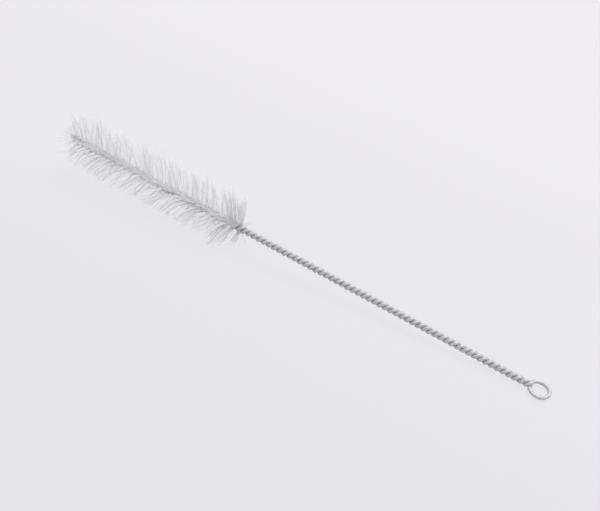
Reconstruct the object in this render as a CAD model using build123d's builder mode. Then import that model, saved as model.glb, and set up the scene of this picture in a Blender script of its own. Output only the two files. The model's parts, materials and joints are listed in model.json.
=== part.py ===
from build123d import *
import math
import os

# Bottle brush: one galvanised wire is folded in half, and the fold is left open as a hanging eye.
# Its two legs are twisted together, and near their ends they grip tufts of nylon filament.
# Millimetres. The brush lies as it comes to rest, with +X towards the eye and +Z up.

# Wire
wire_diameter = 1.8
wire_sides = 6
leg_clearance = 0.04  # between the two legs along the bare stem

# Twist, left-handed as seen in the stem
lay_length = 5.76  # along the stem, for one full turn
steps_per_turn = 8
head_length = 101.0  # from the cut ends of the wire to the last tuft
bare_length = 150.6  # from the last tuft to the neck of the eye
spread_length = 4.0  # over which the legs close up behind the head

# Eye
eye_inner_diameter = 7.6
neck_length = 1.5  # from the last turn of the twist to the eye's ring
eye_opening_angle = 25.0  # half of the part of the ring that the neck takes
eye_steps = 14

# Tufts
tuft_thickness = 0.42
tuft_clearance = 0.12  # to each leg of the wire
tuft_spacing = 0.62
head_diameter = 25.0
tuft_lean = 30.0  # degrees from square to the stem, towards the tip
nose_lean = 48.0  # the same at the very tip
heel_lean = -12.0  # the last tufts before the bare stem fan back
nose_length = 7.0
heel_length = 4.0
nose_diameter = 21.0
heel_diameter = 21.0

# Sizes that follow
wire_radius = wire_diameter / 2
tuft_radius = tuft_thickness / (2 * math.cos(math.radians(30)))
chord_shortening = math.cos(math.pi / steps_per_turn)
stem_leg_radius = (wire_radius + leg_clearance / 2) / chord_shortening
head_leg_radius = (wire_radius + tuft_thickness / 2 + tuft_clearance) / chord_shortening
root_half_length = head_leg_radius + wire_radius
neck_start = head_length + bare_length
eye_radius = eye_inner_diameter / 2 + wire_radius
eye_centre = neck_start + neck_length + eye_radius


def blend(start, end, share):
    """A value that goes smoothly from start to end as share goes from 0 to 1, and stays put beyond."""
    share = min(max(share, 0.0), 1.0)
    return start + (end - start) * share * share * (3 - 2 * share)


def twist_angle(x):
    """Degrees by which the legs are turned about the stem, 0 where they lie side by side at the neck."""
    return 360.0 * (x - neck_start) / lay_length


def leg_radius(x):
    """Distance of a leg's centre from the stem's axis: wider in the head, where the tufts lie between."""
    return blend(head_leg_radius, stem_leg_radius, (x - head_length) / spread_length)


def leg_points(side):
    """Centreline of one leg from its cut end to the neck: a left-handed helix of short chords."""
    steps = round(neck_start / lay_length * steps_per_turn)
    points = []
    for step in range(steps + 1):
        x = neck_start * step / steps
        angle = math.radians(twist_angle(x))
        y = side * leg_radius(x) * math.cos(angle)
        z = -side * leg_radius(x) * math.sin(angle)
        points.append((x, y, z))
    return points


def eye_points():
    """Centreline of the eye: a circle, open by the neck, from one leg round to the other."""
    turn = 360.0 - 2 * eye_opening_angle
    points = []
    for step in range(eye_steps + 1):
        angle = math.radians(eye_opening_angle + turn * step / eye_steps)
        points.append((eye_centre - eye_radius * math.cos(angle), eye_radius * math.sin(angle), 0))
    return points


def lean_at(x):
    """Lean of the tufts at x, in degrees: more at the nose, and backwards at the heel."""
    lean = blend(nose_lean, tuft_lean, x / nose_length)
    return blend(lean, heel_lean, 1 - (head_length - x) / heel_length)


def reach_at(x):
    """Distance from the stem's axis to the ends of the tufts at x."""
    diameter = blend(nose_diameter, head_diameter, x / nose_length)
    return blend(diameter, heel_diameter, 1 - (head_length - x) / heel_length) / 2


def make_tuft(x):
    """One tuft: straight through the gap between the legs, then both halves lean over."""
    reach = reach_at(x)
    shift = -(reach - root_half_length) * math.tan(math.radians(lean_at(x)))
    half_turn = math.radians(twist_angle(x))
    across = Vector(0, math.cos(half_turn), -math.sin(half_turn))
    with BuildPart() as tuft:
        with BuildLine(Plane(origin=(x, 0, 0), x_dir=(1, 0, 0), z_dir=across)) as spine:
            Polyline((shift, reach), (0, root_half_length), (0, -root_half_length), (shift, -reach))
        with BuildSketch(Plane(origin=spine.line @ 0, x_dir=across, z_dir=spine.line % 0)):
            RegularPolygon(tuft_radius, 3, rotation=90)
        sweep(transition=Transition.RIGHT)
    return tuft.part


# Straight brush, with the stem along X from the cut ends of the wire at 0

with BuildPart() as straight_wire:
    with BuildLine() as wire_line:
        Polyline(*leg_points(1), *eye_points(), *reversed(leg_points(-1)))
    with BuildSketch(Plane(origin=wire_line.line @ 0, z_dir=wire_line.line % 0)):
        RegularPolygon(wire_radius, wire_sides)
    sweep(transition=Transition.RIGHT)

tuft_count = round(head_length / tuft_spacing)
tuft_places = [head_length * (number + 0.5) / tuft_count for number in range(tuft_count)]

with BuildPart() as straight_tufts:
    add([make_tuft(x) for x in tuft_places])

# Rest: the brush lies on the rear tufts and on the far side of the eye


def tilted_boxes(tilt):
    """Bounding boxes of the wire and of the tufts, with the stem tilted down towards the eye."""
    tilted = Location((0, 0, 0), (0, tilt, 0))
    return [piece.part.moved(tilted).bounding_box() for piece in (straight_wire, straight_tufts)]


last_full_tuft = head_length - heel_length
lean_shift = (head_diameter / 2 - root_half_length) * math.tan(math.radians(tuft_lean))
rest_span = eye_centre + eye_radius - (last_full_tuft - lean_shift)
first_tilt = math.degrees(math.asin((head_diameter / 2 - wire_radius) / rest_span))
wire_box, tuft_box = tilted_boxes(first_tilt)
rest_tilt = first_tilt - math.degrees(math.atan((tuft_box.min.Z - wire_box.min.Z) / rest_span))

wire_box, tuft_box = tilted_boxes(rest_tilt)
middle_x = (min(wire_box.min.X, tuft_box.min.X) + max(wire_box.max.X, tuft_box.max.X)) / 2
middle_y = (min(wire_box.min.Y, tuft_box.min.Y) + max(wire_box.max.Y, tuft_box.max.Y)) / 2
lowest_z = min(wire_box.min.Z, tuft_box.min.Z)
rest = Location((-middle_x, -middle_y, -lowest_z), (0, rest_tilt, 0))

with BuildPart() as twisted_wire:
    with Locations(rest):
        add(straight_wire.part)
twisted_wire.part.label = "twisted_wire"

with BuildPart() as bristles:
    with Locations(rest):
        add(straight_tufts.part)
bristles.part.label = "bristles"

os.makedirs("parts", exist_ok=True)
export_step(twisted_wire.part, "parts/twisted_wire.step")
export_step(bristles.part, "parts/bristles.step")
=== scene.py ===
import json
import math

import bpy
import numpy as np
from mathutils import Matrix, Vector


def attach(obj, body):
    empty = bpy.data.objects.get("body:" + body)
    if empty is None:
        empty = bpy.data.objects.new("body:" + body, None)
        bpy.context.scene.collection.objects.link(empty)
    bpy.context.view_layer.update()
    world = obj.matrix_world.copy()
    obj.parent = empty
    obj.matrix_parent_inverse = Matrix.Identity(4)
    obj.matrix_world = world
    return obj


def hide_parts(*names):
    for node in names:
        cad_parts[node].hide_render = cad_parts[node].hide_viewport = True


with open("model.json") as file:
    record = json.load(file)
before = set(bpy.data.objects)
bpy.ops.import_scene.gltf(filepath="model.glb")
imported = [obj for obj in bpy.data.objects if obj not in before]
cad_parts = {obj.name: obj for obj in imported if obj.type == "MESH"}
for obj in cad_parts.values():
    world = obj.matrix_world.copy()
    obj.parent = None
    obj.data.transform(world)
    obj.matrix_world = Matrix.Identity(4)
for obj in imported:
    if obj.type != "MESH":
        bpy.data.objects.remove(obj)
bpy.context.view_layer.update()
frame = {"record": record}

# A bottle brush: one galvanised wire, folded, twisted and left open at its fold as a hanging eye,
# and the nylon filaments that its two legs grip. Sizes and places are in metres.

wire_diameter = 0.0018
lay_length = 0.00576  # along the stem, for one full turn of the legs
head_length = 0.1010  # from the cut ends of the wire to the last filaments
bare_length = 0.1506  # from the last filaments to the neck of the eye
spread_length = 0.004  # over which the legs close up behind the head
neck_length = 0.0015
eye_inner_diameter = 0.0076
stem_gap, head_gap = 0.00004, 0.00040  # between the surfaces of the legs
crossing_offset = 0.0005  # from the eye's ring to the place where the legs cross

wire_radius = wire_diameter / 2
neck_start = head_length + bare_length
eye_radius = eye_inner_diameter / 2 + wire_radius
eye_centre = neck_start + neck_length + eye_radius
crossing = eye_centre - eye_radius + crossing_offset

# Where the brush lies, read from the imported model's hanging eye
eye = frame["record"]["mounts"][0]
eye_normal = np.array(eye["axis"]) / np.linalg.norm(eye["axis"])
stem_along = np.array([eye_normal[2], 0.0, -eye_normal[0]])
stem_side = np.array([0.0, 1.0, 0.0])
stem_tip = np.array(eye["pos_m"]) - eye_centre * stem_along

rng = np.random.default_rng(7)


def turned(local):
    """Directions (along the stem, to the side, up from the eye's plane) as row-frame directions."""
    return local[..., :1] * stem_along + local[..., 1:2] * stem_side + local[..., 2:] * eye_normal


def in_place(local):
    """Points measured from the stem's tip in those directions, as row-frame points."""
    return stem_tip + turned(local)


def mix(start, end, share):
    """start + (end - start) s with s the share."""
    return start + (end - start) * share


def smooth(start, end, share):
    """start to end along 3s^2 - 2s^3, with s held between 0 and 1."""
    s = np.clip(share, 0.0, 1.0)
    return mix(start, end, s * s * (3 - 2 * s))


def unit(vectors):
    """Vectors divided by their length."""
    return vectors / np.linalg.norm(vectors, axis=-1, keepdims=True)


def twist_angle(x):
    """Angle of the legs about the stem: one left-handed turn for each lay length.

    At the crossing before the eye it is a quarter turn, with one leg above the other."""
    return 2 * np.pi * (x - crossing) / lay_length + np.pi / 2


def leg_radius(x):
    """Distance of a leg's centre from the stem's axis: wider in the head, where filaments lie between."""
    stem = wire_radius + stem_gap / 2
    head = wire_radius + head_gap / 2
    return smooth(head, stem, (x - head_length) / spread_length)


# Tubes and pieces


def rings(line, radii, across, over, sides):
    """Points round every row of some lines: line + r (cos v across + sin v over), v all the way round."""
    turn = np.linspace(0, 2 * np.pi, sides, endpoint=False)[:, None]
    outwards = np.cos(turn) * across[..., None, :] + np.sin(turn) * over[..., None, :]
    return line[..., None, :] + radii * outwards


def tube_faces(number):
    """Faces of closed tubes, from their vertices' numbers by tube, row and side.

    Four-sided faces join each row to the next, and one flat face closes each end."""
    following = np.roll(number, -1, axis=2)
    corners = [number[:, :-1], following[:, :-1], following[:, 1:], number[:, 1:]]
    quads = np.stack(corners, axis=-1).reshape(-1, 4)
    return quads.tolist() + number[:, 0, ::-1].tolist() + number[:, -1].tolist()


def new_piece(name, vertices, faces, attributes, material):
    """A mesh object at the origin, smooth, with its attributes and one material."""
    mesh = bpy.data.meshes.new(name)
    mesh.from_pydata(vertices, [], faces)
    mesh.update()
    mesh.polygons.foreach_set("use_smooth", np.ones(len(mesh.polygons), bool))
    for label, values in attributes.items():
        kind = "FLOAT_VECTOR" if values.ndim == 2 else "FLOAT"
        field = "vector" if values.ndim == 2 else "value"
        attribute = mesh.attributes.new(label, kind, "POINT")
        attribute.data.foreach_set(field, np.ascontiguousarray(values, np.float32).ravel())
    mesh.materials.append(material)
    piece = bpy.data.objects.new(name, mesh)
    bpy.context.scene.collection.objects.link(piece)
    return piece


# Materials


def node(tree, kind, inputs=None, **settings):
    """A new node with its settings, and its inputs set by name or linked from another node's output."""
    made = tree.nodes.new(kind)
    for key, value in settings.items():
        setattr(made, key, value)
    for key, value in (inputs or {}).items():
        if isinstance(value, bpy.types.NodeSocket):
            tree.links.new(value, made.inputs[key])
        else:
            made.inputs[key].default_value = value
    return made


def new_material(name):
    """A new node material, its tree and its shader."""
    material = bpy.data.materials.new(name)
    material.use_nodes = True
    tree = material.node_tree
    shader = tree.nodes["Principled BSDF"]
    return material, tree, shader


def ramp(tree, factor, stops):
    """A colour ramp over factor, with stops of (position, grey or colour)."""
    made = node(tree, "ShaderNodeValToRGB", {"Fac": factor})
    elements = made.color_ramp.elements
    while len(elements) < len(stops):
        elements.new(0.5)
    for element, (position, colour) in zip(elements, stops):
        element.position = position
        element.color = (*colour, 1) if isinstance(colour, tuple) else (colour, colour, colour, 1)
    return made.outputs["Color"]


def galvanised():
    """Drawn steel wire with a satin zinc coat: streaks along the wire and a soft mottling.

    The two are mixed, and give the colour, the roughness and a slight relief. The streaks follow the
    wire's grain, which is set where its mesh is made."""
    material, tree, shader = new_material("galvanised_steel")
    grain = node(tree, "ShaderNodeAttribute", attribute_name="grain").outputs["Vector"]
    streak_place = node(tree, "ShaderNodeMapping", {"Vector": grain, "Scale": (5.0, 5.0, 260.0)})
    streaks = node(tree, "ShaderNodeTexNoise",
                   {"Vector": streak_place.outputs["Vector"], "Scale": 1.0, "Detail": 3.0, "Roughness": 0.6})
    coords = node(tree, "ShaderNodeTexCoord").outputs["Object"]
    mottle = node(tree, "ShaderNodeTexNoise",
                  {"Vector": coords, "Scale": 620.0, "Detail": 4.0, "Roughness": 0.55})
    both = node(tree, "ShaderNodeMix",
                {"Factor": 0.45, "A": streaks.outputs["Fac"], "B": mottle.outputs["Fac"]})
    zinc = both.outputs["Result"]
    dark, middle, light = (0.46, 0.46, 0.475), (0.57, 0.57, 0.585), (0.67, 0.67, 0.685)
    colour = ramp(tree, zinc, [(0.30, dark), (0.52, middle), (0.72, light)])
    tree.links.new(colour, shader.inputs["Base Color"])
    roughness = ramp(tree, zinc, [(0.3, 0.56), (0.7, 0.46)])
    tree.links.new(roughness, shader.inputs["Roughness"])
    relief = node(tree, "ShaderNodeBump", {"Height": zinc, "Strength": 0.25, "Distance": 0.00005})
    tree.links.new(relief.outputs["Normal"], shader.inputs["Normal"])
    shader.inputs["Metallic"].default_value = 0.35
    return material


def nylon():
    """Milky white monofilament, which scatters a little light inside.

    It is brighter towards the filament's end, and the darker roots are painted shade for the crowded core
    round the wire; each filament has its own slight shade."""
    material, tree, shader = new_material("nylon_monofilament")
    share = node(tree, "ShaderNodeAttribute", attribute_name="share").outputs["Fac"]
    shade = node(tree, "ShaderNodeAttribute", attribute_name="shade").outputs["Fac"]
    # Painted shade: the roots, crowded round the wire, are a little darker and greyer than the ends.
    root, middle, end = (0.965, 0.97, 0.98), (0.98, 0.98, 0.99), (0.99, 0.985, 0.995)
    body = ramp(tree, share, [(0.0, root), (0.35, middle), (1.0, end)])
    tone = ramp(tree, shade, [(0.0, 0.95), (1.0, 1.0)])
    colour = node(tree, "ShaderNodeMix", {"Factor": 1.0, "A": body, "B": tone},
                  data_type="RGBA", blend_type="MULTIPLY")
    tree.links.new(colour.outputs["Result"], shader.inputs["Base Color"])
    shader.inputs["Roughness"].default_value = 0.30
    shader.inputs["Subsurface Weight"].default_value = 0.15
    shader.inputs["Subsurface Radius"].default_value = (1.0, 1.0, 1.0)
    shader.inputs["Subsurface Scale"].default_value = 0.0005
    shader.inputs["IOR"].default_value = 1.53
    return material


# Wire

turn_rows = 26  # rows of the mesh for each turn of the legs
eye_rows, neck_rows = 72, 12
wire_sides = 18
eye_opening = math.radians(34)  # half of the part of the ring that the neck takes
neck_share = 0.04  # of a lay length, between the end of the twist and the crossing
crossing_lift, lift_length = 0.00016, 0.004
cut_end_share = 0.86  # of the wire's radius, at its cut ends

twist_end = crossing - neck_share * lay_length


def leg_line(x):
    """A leg's centreline: (x, a cos f, -a sin f) with f the twist angle and a the leg's distance."""
    angle = twist_angle(x)
    radius = leg_radius(x)
    return np.stack([x, radius * np.cos(angle), -radius * np.sin(angle)], axis=-1)


def eye_line(angle):
    """The eye's centreline: a circle round the eye's centre, from one side of the neck to the other."""
    along = eye_centre - eye_radius * np.cos(angle)
    return np.stack([along, eye_radius * np.sin(angle), np.zeros_like(angle)], axis=-1)


def neck_line(start, start_along, end, end_along, rows):
    """A cubic from start to end, leaving and arriving along the two given directions."""
    t = np.linspace(0, 1, rows + 2)[1:-1, None]
    pull = np.linalg.norm(end - start)
    first = (2 * t**3 - 3 * t**2 + 1) * start + (t**3 - 2 * t**2 + t) * pull * start_along
    return first + (3 * t**2 - 2 * t**3) * end + (t**3 - t**2) * pull * end_along


def wire_line():
    """The whole wire's centreline: leg, crossing, eye, crossing and leg.

    A lift of l exp(-((x - c) / w)^2) about the crossing c keeps its lower leg off the floor."""
    rows = int(twist_end / lay_length * turn_rows)
    leg = leg_line(np.linspace(0, twist_end, rows))
    ring = eye_line(np.linspace(-eye_opening, eye_opening - 2 * np.pi, eye_rows))
    leave = unit(leg[-1] - leg[-2])
    arrive = unit(ring[1] - ring[0])
    neck = neck_line(leg[-1], leave, ring[0], arrive, neck_rows)
    half = np.concatenate([leg, neck])
    other = half[::-1] * np.array([1, -1, -1])
    line = np.concatenate([half, ring, other])
    line[:, 2] += crossing_lift * np.exp(-(((line[:, 0] - crossing) / lift_length) ** 2))
    return line


def wire_mesh(line, radii):
    """A round tube along the wire's line, and its grain (cos v, sin v, length along the wire).

    Across is parallel to the eye's plane, and over is square to across and to the wire. V turns
    left-handed about the wire's direction, so the sides are counted backwards to face outwards."""
    along = unit(np.gradient(line, axis=0))
    across = unit(np.cross(along, [0.0, 0.0, 1.0]))
    over = np.cross(across, along)
    points = rings(line, radii[:, None, None], across, over, wire_sides)
    number = np.arange(len(line) * wire_sides).reshape(1, len(line), wire_sides)
    turn = np.linspace(0, 2 * np.pi, wire_sides, endpoint=False)[None, :]
    length = np.concatenate([[0], np.cumsum(np.linalg.norm(np.diff(line, axis=0), axis=1))])[:, None]
    grain = np.stack(np.broadcast_arrays(np.cos(turn), np.sin(turn), length), axis=-1)
    return points.reshape(-1, 3), tube_faces(number[..., ::-1]), {"grain": grain.reshape(-1, 3)}


def make_wire():
    """The folded and twisted wire as one smooth tube."""
    line = wire_line()
    radii = np.full(len(line), wire_radius)
    radii[[0, -1]] = wire_radius * cut_end_share
    vertices, faces, attributes = wire_mesh(line, radii)
    piece = new_piece("stem_wire", in_place(vertices), faces, attributes, galvanised())
    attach(piece, "root")
    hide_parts("twisted_wire")


# Filaments

filament_diameter = 0.000115
filament_sides = 3
floor_clearance = 0.6 * filament_diameter

# Rows of a filament's mesh: the shares of its reach where they lie, and of its thickness there
filament_shares = np.array([0.03, 0.13, 0.28, 0.45, 0.63, 0.82, 1.0])
filament_taper = np.array([1, 1, 1, 1, 1, 0.95, 0.7])

# Left free of filaments at either end of the head
end_margin, heel_margin = 0.0006, 0.0004

# Filaments all along the head, with more at the heel, in clumps and tufts
filament_count, heel_count = 900, 120
clump_spacing, clump_wander = 0.00096, 0.2
tuft_spacing, tuft_wander, tuft_stagger = 0.0047, 0.15, 0.2
loose_share, loose_scatter = 0.12, 2.4
bent_share, bent_reach = 0.55, 0.4
nose_length, nose_sweep, heel_length = 0.011, 0.014, 0.008

# Directions about the stem: 0 is up from the eye's plane, and a quarter turn is to the side
raised_angle = math.radians(37)
pressed_angle = math.radians(-122)
pressed_edge, pressed_fade = 0.35, 0.6  # on the cosine of the angle from the pressed side
parting_angle = math.radians(-84)
parting_gap, parting_spread = math.radians(14), math.radians(70)
parting_start = 0.009
flattening = 0.32
angle_scatter = math.radians(5)

# Reach from the stem's axis: of free and of pressed filaments
head_reach, nose_reach = (0.0140, 0.0114), (0.0058, 0.0044)
heel_reach_share = (0.97, 0.62)
reach_drift, reach_scatter = 0.035, 0.04

# Slopes towards the tip, at the wire and at the filament's end: of free and of pressed filaments
# along the head and at the heel, and of those away from and on the raised side at the nose
wire_slopes = {"head": (0.50, 1.30), "nose": (0.90, 0.70), "heel": (0.22, 0.10)}
end_slopes = {"head": (0.54, 0.36), "nose": (0.75, 1.00), "heel": (0.36, -0.12)}
wire_slope_drift, wire_slope_scatter = 0.05, (0.05, 0.14)
end_slope_drift, end_slope_scatter = 0.06, (0.06, 0.16)

# How clumps and tufts draw together, and how they sway: of free and of pressed filaments
clump_pull, tuft_pull = (0.80, 0.32), (0.45, 0.22)
sway_drift, sway_scatter = 0.05, (0.04, 0.11)

# Short filaments laid over along the wire. Their directions are in degrees from the parting:
# just above it, and all round
laid_count = 1500
laid_tip_margin, laid_heel_margin = 0.0008, 0.0010
laid_above, laid_round = (12, 70), (13, 342)
laid_above_share = 0.6
laid_reach = (0.0019, 0.0034)
laid_wire_slope, laid_slope_change, laid_heel_slope = (0.9, 2.6), (-0.6, 0.6), 0.4
laid_sway = 0.25

# Strays: those fanned out behind the head, and one clump that stands out below it
fanned_count, fanned_length, fanned_scatter = 34, 0.0024, 0.45
fanned_reach = (0.0040, 0.0080)
fanned_wire_slope, fanned_slope_change = (-1.1, 0.0), (-0.4, 0.3)
standing_count, standing_place, standing_width = 12, 0.0930, 0.00025
standing_angle, standing_angle_scatter = math.radians(-143), 0.06
standing_reach, standing_reach_scatter = 0.0140, 0.0004
standing_wire_slope, standing_wire_scatter = 0.26, 0.05
standing_slope_change, standing_change_scatter = 0.03, 0.06
stray_sway, standing_sway_share = 0.08, 0.3


def filament_lines(x, angle, near, far, reach, sway, pull):
    """Centrelines of filaments that leave the wire at x, in the direction angle about the stem.

    With t the share of its reach r, a filament is r t out from the stem's axis, and towards the tip
    by r (a t + (b - a) t^2 / 2), where its slope goes from near (a) to far (b). It sways to the side
    by r sway t^2, and its end is drawn along the stem by pull t^1.5, towards the others of its clump."""
    x, near, far, reach, sway, pull = (values[:, None, None] for values in (x, near, far, reach, sway, pull))
    zero = np.zeros_like(angle)
    along = np.array([1.0, 0.0, 0.0])
    out = np.stack([zero, np.sin(angle), np.cos(angle)], axis=-1)[:, None]
    side = np.stack([zero, np.cos(angle), -np.sin(angle)], axis=-1)[:, None]
    t = filament_shares[None, :, None]
    shift = pull * t**1.5 - reach * (near * t + (far - near) * t**2 / 2)
    return (x + shift) * along + reach * t * out + reach * sway * t**2 * side, side


def opened(angle, x):
    """Directions about the stem, turned away from the parting, which shows the wire.

    At d to one side of it, the turn is g (1 - d / s), with g the parting's gap and s its spread.
    The gap is closed at the nose. The head is a little flat as well: the directions are turned by
    - f sin 2e, with e the angle from the raised side and f the flattening."""
    beside = (angle - parting_angle + np.pi) % (2 * np.pi) - np.pi
    gap = smooth(0, parting_gap, x / parting_start)
    angle = angle + np.sign(beside) * gap * np.clip(1 - np.abs(beside) / parting_spread, 0, 1)
    return angle - flattening * np.sin(2 * (angle - raised_angle))


def slope(slopes, pressed, raised, swept, heel):
    """The head's slopes, which go over to the nose's with swept and then to the heel's with heel."""
    along_head = mix(*slopes["head"], pressed)
    at_nose = mix(*slopes["nose"], raised)
    at_heel = mix(*slopes["heel"], pressed)
    return mix(mix(along_head, at_nose, swept), at_heel, heel)


def brushed_filaments():
    """The filaments all along the head, both halves of each, in slim clumps that gather in tufts.

    They lean towards the tip, the free ones more so at the nose and all of them less at the heel. On
    the side that the brush was pressed on, they are swept along the wire first and are shorter, and
    some are bent short. A clump drifts as one, and each filament has its own scatter, which is more
    in the loose ones."""
    x = rng.uniform(end_margin, head_length - end_margin, filament_count)
    x = np.concatenate([x, rng.uniform(head_length - heel_length, head_length - heel_margin, heel_count)])
    arm = np.repeat([0.0, np.pi], len(x))
    x = np.concatenate([x, x])
    clump = np.floor(x / clump_spacing).astype(int)
    drift = rng.normal(0, 1, (2 * clump.max() + 2, 4))[clump * 2 + (arm > 0)]
    loose = np.where(rng.uniform(0, 1, len(x)) < loose_share, loose_scatter, 1.0)
    own = rng.normal(0, 1, (len(x), 4)) * loose[:, None]
    centre = (clump + 0.5 + clump_wander * drift[:, 3]) * clump_spacing
    angle = opened(twist_angle(x) + arm + angle_scatter * own[:, 0], x)

    pressed = smooth(0, 1, (np.cos(angle - pressed_angle) - pressed_edge) / pressed_fade)
    raised = (1 + np.cos(angle - raised_angle)) / 2
    nose = smooth(1, 0, x / nose_length)
    swept = smooth(1, 0, x / nose_sweep)
    heel = smooth(1, 0, (head_length - x) / heel_length)

    near = slope(wire_slopes, pressed, raised, swept, heel)
    near = near + wire_slope_drift * drift[:, 0] + mix(*wire_slope_scatter, pressed) * own[:, 1]
    far = slope(end_slopes, pressed, raised, swept, heel)
    far = far + end_slope_drift * drift[:, 0] + mix(*end_slope_scatter, pressed) * own[:, 1]

    free_reach = mix(head_reach[0], nose_reach[0], nose)
    reach = mix(free_reach, mix(head_reach[1], nose_reach[1], swept), pressed)
    reach = reach * mix(1.0, mix(*heel_reach_share, pressed), heel)
    reach = reach * (1 + reach_drift * drift[:, 1] + reach_scatter * own[:, 2])
    bent = rng.uniform(0, 1, len(x)) < bent_share * pressed
    reach = np.where(bent, bent_reach * reach, reach)

    tight = mix(*clump_pull, pressed)
    sway = tight * 2 * np.pi * (centre - x) / lay_length
    sway = sway + sway_drift * drift[:, 2] + mix(*sway_scatter, pressed) * own[:, 3]
    stagger = tuft_stagger * arm / np.pi
    tuft = np.floor(x / tuft_spacing + stagger).astype(int)
    wander = tuft_wander * rng.normal(0, 1, tuft.max() + 1)[tuft]
    tuft_centre = (tuft + 0.5 - stagger + wander) * tuft_spacing
    gather = mix(mix(*tuft_pull, pressed), 0, heel)
    pull = tight * (centre - x) + gather * (tuft_centre - centre)
    return x, angle, near, far, reach, sway, pull


def laid_filaments():
    """Short filaments that the twist has laid over along the wire, all round it but for the parting.

    Most lie just above the parting, where they hide the wire."""
    x = rng.uniform(laid_tip_margin, head_length - laid_heel_margin, laid_count)
    above = rng.uniform(*laid_above, laid_count)
    around = rng.uniform(*laid_round, laid_count)
    is_above = rng.uniform(0, 1, laid_count) < laid_above_share
    angle = parting_angle + np.radians(np.where(is_above, above, around))
    reach = rng.uniform(*laid_reach, laid_count)
    near = rng.uniform(*laid_wire_slope, laid_count)
    far = near + rng.uniform(*laid_slope_change, laid_count)
    heel = smooth(1, 0, (head_length - x) / heel_length)
    sway = rng.normal(0, laid_sway, laid_count)
    return x, angle, near, mix(far, laid_heel_slope, heel), reach, sway, np.zeros_like(x)


def stray_filaments():
    """A few short filaments that fan out behind the head, and one clump that stands out below it."""
    fanned_x = head_length - rng.uniform(0, fanned_length, fanned_count)
    x = np.concatenate([fanned_x, rng.normal(standing_place, standing_width, standing_count)])
    arm = rng.integers(0, 2, fanned_count) * np.pi
    fanned_angle = twist_angle(fanned_x) + arm + rng.normal(0, fanned_scatter, fanned_count)
    standing = standing_angle + rng.normal(0, standing_angle_scatter, standing_count)
    angle = np.concatenate([fanned_angle, standing])
    near = np.concatenate([
        rng.uniform(*fanned_wire_slope, fanned_count),
        rng.normal(standing_wire_slope, standing_wire_scatter, standing_count)])
    far = near + np.concatenate([
        rng.uniform(*fanned_slope_change, fanned_count),
        rng.normal(standing_slope_change, standing_change_scatter, standing_count)])
    reach = np.concatenate([
        rng.uniform(*fanned_reach, fanned_count),
        rng.normal(standing_reach, standing_reach_scatter, standing_count)])
    sway_shares = np.repeat([1.0, standing_sway_share], [fanned_count, standing_count])
    sway = rng.normal(0, stray_sway, len(x)) * sway_shares
    return x, angle, near, far, reach, sway, np.zeros_like(x)


def filament_mesh(line, side):
    """Thin tapered tubes on many lines at once, closed at both ends.

    Each vertex has the share of the filament's reach at which it lies, and each filament has a shade."""
    count, rows = line.shape[:2]
    along = unit(np.gradient(line, axis=1))
    over = unit(np.cross(along, side))
    across = np.cross(over, along)
    radius = filament_diameter / 2 * filament_taper[:, None, None]
    points = rings(line, radius, across, over, filament_sides)
    number = np.arange(count * rows * filament_sides).reshape(count, rows, filament_sides)
    share = np.broadcast_to(filament_shares[None, :, None], number.shape).ravel()
    shade = np.broadcast_to(rng.uniform(0, 1, (count, 1, 1)), number.shape).ravel()
    return points.reshape(-1, 3), tube_faces(number), {"share": share, "shade": shade}


def on_the_floor(line):
    """Lines with no point lower than the floor: the filaments under the head bend there."""
    line[..., 2] = np.maximum(line[..., 2], floor_clearance)
    return line


def make_filaments():
    """The nylon filaments of the head."""
    kinds = zip(brushed_filaments(), laid_filaments(), stray_filaments())
    line, side = filament_lines(*(np.concatenate(values) for values in kinds))
    vertices, faces, attributes = filament_mesh(on_the_floor(in_place(line)), turned(side))
    piece = new_piece("head_filaments", vertices, faces, attributes, nylon())
    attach(piece, "root")
    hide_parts("bristles")


# Stage

camera_place = Vector((0.16837, -0.38350, 0.35026))
camera_forward = Vector((-0.302947, 0.715095, -0.629971))
camera_roll = math.radians(10.4697)
camera_lens, sensor_width = 68.613, 36.0  # millimetres

floor_half = 8.0
floor_front, floor_back = -0.14, 0.22  # between which the floor's colour darkens towards the front, a painted fall-off of the light
floor_glow, floor_damping = 0.90, 0.28
glow_strength = 1.03

light_from = Vector((0.10, 0.42, 0.90))
lamp_strength = 1.24
lamp_angle = math.radians(40)


def make_camera():
    """The camera at the photograph's viewing angle."""
    data = bpy.data.cameras.new("camera")
    data.lens = camera_lens
    data.sensor_fit = "HORIZONTAL"
    data.sensor_width = sensor_width
    data.clip_start = 0.01
    data.clip_end = 20
    camera = bpy.data.objects.new("camera", data)
    bpy.context.scene.collection.objects.link(camera)
    level = camera_forward.to_track_quat("-Z", "Y").to_matrix()
    turn = level @ Matrix.Rotation(camera_roll, 3, "Z")
    camera.matrix_world = Matrix.Translation(camera_place) @ turn.to_4x4()
    bpy.context.scene.camera = camera


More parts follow.
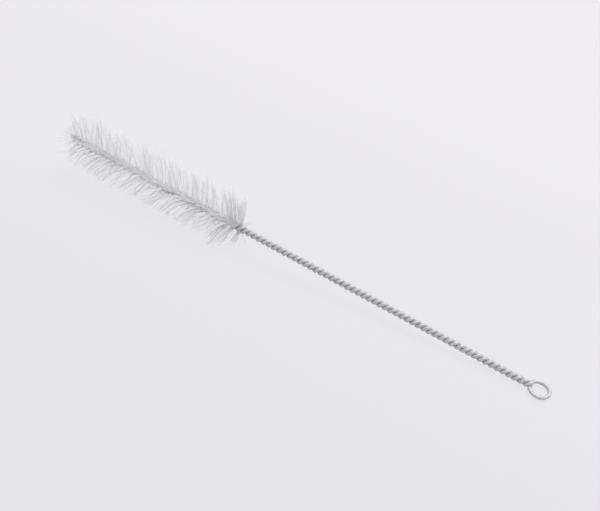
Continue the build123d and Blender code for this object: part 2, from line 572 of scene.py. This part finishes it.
def floor_surface():
    """A plain pale grey, a little darker towards the front as a painted fall-off of the light, which throws
    back less light than it shows.

    Most of what the camera and reflections see of it is its plain colour, so the shadow on it is faint."""
    material, tree, shader = new_material("floor")
    coords = node(tree, "ShaderNodeTexCoord").outputs["Object"]
    split = node(tree, "ShaderNodeSeparateXYZ", {"Vector": coords})
    level = node(tree, "ShaderNodeMapRange",
                 {"Value": split.outputs["Y"], "From Min": floor_front, "From Max": floor_back})
    # Painted fall-off of the light: the floor's colour is a little darker towards the front.
    colour = ramp(tree, level.outputs["Result"], [(0.0, (0.775, 0.765, 0.805)), (1.0, (0.86, 0.845, 0.87))])
    base = node(tree, "ShaderNodeMix", {"Factor": floor_damping, "A": colour, "B": (0, 0, 0, 1)},
                data_type="RGBA")
    tree.links.new(base.outputs["Result"], shader.inputs["Base Color"])
    shader.inputs["Roughness"].default_value = 0.9
    shader.inputs["Specular IOR Level"].default_value = 0.0
    glow = node(tree, "ShaderNodeEmission", {"Color": colour, "Strength": glow_strength})
    ray = node(tree, "ShaderNodeLightPath").outputs
    seen = ray["Is Camera Ray"]
    for kind in ("Is Glossy Ray", "Is Transmission Ray"):
        seen = node(tree, "ShaderNodeMath", {0: seen, 1: ray[kind]}, operation="MAXIMUM").outputs[0]
    share = node(tree, "ShaderNodeMath", {0: seen, 1: floor_glow}, operation="MULTIPLY")
    both = node(tree, "ShaderNodeMixShader",
                {0: share.outputs[0], 1: shader.outputs[0], 2: glow.outputs[0]})
    tree.links.new(both.outputs[0], tree.nodes["Material Output"].inputs["Surface"])
    return material


def make_floor():
    """A square floor at the level that the brush lies on."""
    corners = [(-floor_half, -floor_half, 0), (floor_half, -floor_half, 0),
               (floor_half, floor_half, 0), (-floor_half, floor_half, 0)]
    mesh = bpy.data.meshes.new("floor")
    mesh.from_pydata(corners, [], [(0, 1, 2, 3)])
    mesh.materials.append(floor_surface())
    floor = bpy.data.objects.new("floor", mesh)
    bpy.context.scene.collection.objects.link(floor)


def make_light():
    """A studio dome, brightest overhead and a little behind, and one broad soft lamp from there."""
    world = bpy.data.worlds.new("studio")
    world.use_nodes = True
    bpy.context.scene.world = world
    tree = world.node_tree
    coords = node(tree, "ShaderNodeTexCoord").outputs["Generated"]
    facing = node(tree, "ShaderNodeVectorMath", {0: coords, 1: light_from.normalized()},
                  operation="DOT_PRODUCT")
    colour = ramp(tree, facing.outputs["Value"], [(0.0, 0.62), (0.5, 0.80), (1.0, 0.98)])
    tree.links.new(colour, tree.nodes["Background"].inputs["Color"])
    tree.nodes["Background"].inputs["Strength"].default_value = 1.0
    lamp = bpy.data.lights.new("soft_lamp", "SUN")
    lamp.energy = lamp_strength
    lamp.angle = lamp_angle
    sun = bpy.data.objects.new("soft_lamp", lamp)
    sun.rotation_euler = light_from.to_track_quat("Z", "Y").to_euler()
    bpy.context.scene.collection.objects.link(sun)


make_wire()
make_filaments()
make_floor()
make_light()
make_camera()
bpy.context.scene.view_settings.view_transform = "Standard"
